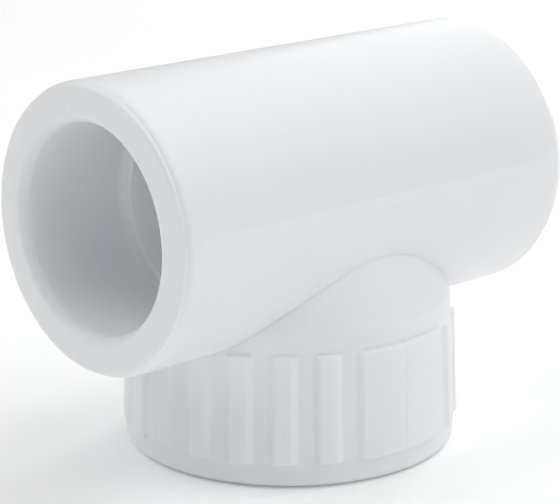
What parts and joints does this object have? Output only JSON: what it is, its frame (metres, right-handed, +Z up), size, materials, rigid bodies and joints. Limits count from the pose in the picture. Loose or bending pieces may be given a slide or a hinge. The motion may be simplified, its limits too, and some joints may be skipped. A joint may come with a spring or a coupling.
{
  "type": "pipe tee fitting",
  "caption": "White plastic tee with two plain pipe sockets in line and a ribbed collar that holds a metal insert with a female thread on the branch.",
  "frame": {"origin": "centre of the branch's metal face, which the tee stands on", "axes": "+X along the run, +Z up from the branch face to the run, -Y towards the front pad"},
  "size_m": [0.079, 0.0528, 0.0617],
  "materials": {
    "white_plastic": "satin moulded, slightly cool white",
    "plated_brass": "turned brass with bright nickel plating",
    "black_rubber": "matt"
  },
  "bodies": {
    "root": {"tee_body": "white_plastic", "threaded_insert": "plated_brass", "insert_seal": "black_rubber"}
  },
  "joints": []
}
